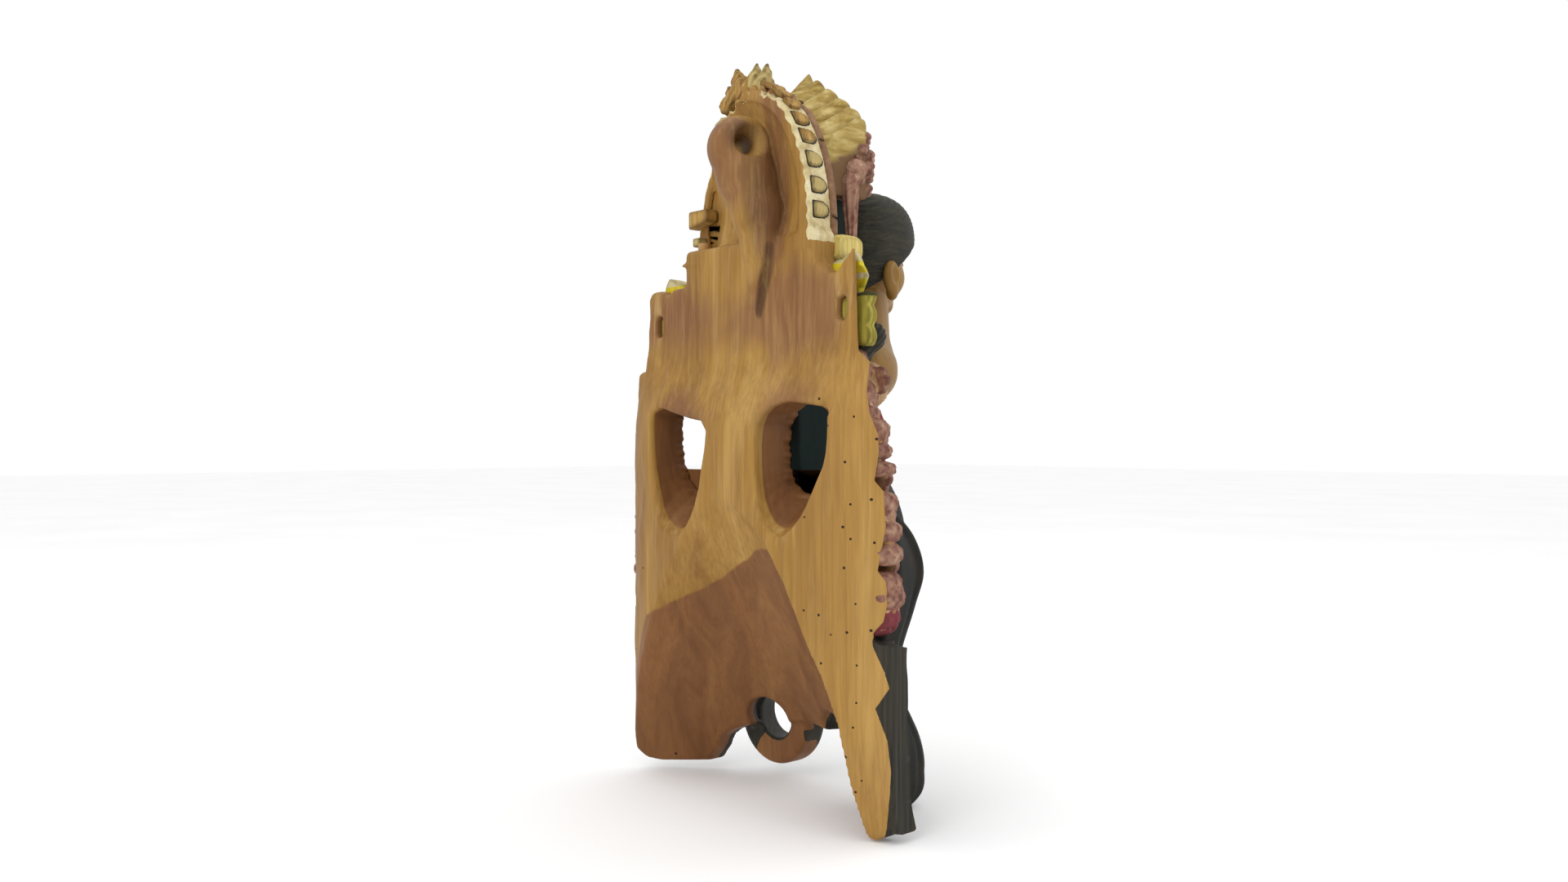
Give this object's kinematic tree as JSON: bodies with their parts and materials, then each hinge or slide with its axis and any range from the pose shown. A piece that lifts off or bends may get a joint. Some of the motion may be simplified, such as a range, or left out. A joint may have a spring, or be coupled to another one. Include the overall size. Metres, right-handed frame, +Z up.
{
  "type": "carved wooden crowned figure",
  "caption": "Carved and painted wooden bust of a crowned, long-haired figure with a pierced raw-wood back, a ray-rimmed crown and a cross hole for hanging.",
  "frame": {"origin": "centre of the bounding box's bottom face, on the surface the figure stands on", "axes": "+Z up along the figure's height, -Y out of the figure's face, +X towards the figure's own left side"},
  "size_m": [0.24, 0.173, 0.4788],
  "materials": {
    "raw_sapwood": "bare carved hardwood, lightly worn, with long grain",
    "raw_heartwood": "bare carved heartwood, smooth and slightly waxy",
    "core_wood": "plain sawn wood",
    "oiled_wood": "oiled natural wood, smooth",
    "painted_gesso": "worn white gesso over wood",
    "painted_gold": "worn cream and yellow paint over wood",
    "painted_cream": "matt cream paint over wood",
    "painted_yellow": "matt yellow and white paint over wood",
    "painted_pink": "worn matt pink and red paint over wood",
    "painted_blush": "worn pale pink paint over wood",
    "painted_green": "streaky worn green paint over wood",
    "painted_black": "worn matt black paint over wood",
    "painted_red": "matt dark red paint over wood"
  },
  "bodies": {
    "root": {"board_pegs": "core_wood", "breast_cloth": "painted_red", "bust_peg": "core_wood", "centre_locks": "painted_black", "core_block": "core_wood", "crown_board": "raw_sapwood", "crown_border": "painted_gesso", "crown_pegs": "core_wood", "crown_ray_stubs": "painted_gesso", "crown_rays": "painted_gold", "flank_pegs": "core_wood", "front_shell": "raw_heartwood", "hair_cap": "painted_black", "head": "oiled_wood", "head_peg": "core_wood", "hip_pegs": "core_wood", "keel_lug": "raw_sapwood", "left_bud": "painted_blush", "left_curl_ring": "painted_black", "left_ear": "oiled_wood", "left_flank": "raw_heartwood", "left_frangipani": "painted_yellow", "left_garland": "painted_pink", "left_hip": "raw_sapwood", "left_inner_lock": "painted_black", "left_leaf": "painted_green", "left_neck_lock": "painted_black", "left_outer_lock": "painted_black", "left_pendant": "painted_pink", "left_rim_petal": "painted_cream", "left_wing": "raw_sapwood", "left_wing_lock": "painted_black", "neck_and_shoulders": "oiled_wood", "right_bud": "painted_blush", "right_curl_ring": "painted_black", "right_ear": "oiled_wood", "right_flank": "raw_heartwood", "right_frangipani": "painted_yellow", "right_garland": "painted_pink", "right_hip": "raw_sapwood", "right_inner_lock": "painted_black", "right_leaf": "painted_green", "right_neck_lock": "painted_black", "right_outer_lock": "painted_black", "right_pendant": "painted_pink", "right_rim_petal": "painted_cream", "right_wing": "raw_sapwood", "right_wing_lock": "painted_black", "shoulder_board": "raw_sapwood", "spine_block": "raw_sapwood", "spine_pegs": "core_wood", "tiara_blossoms": "painted_pink", "tiara_fan": "painted_cream", "wing_pegs": "core_wood"}
  },
  "joints": []
}
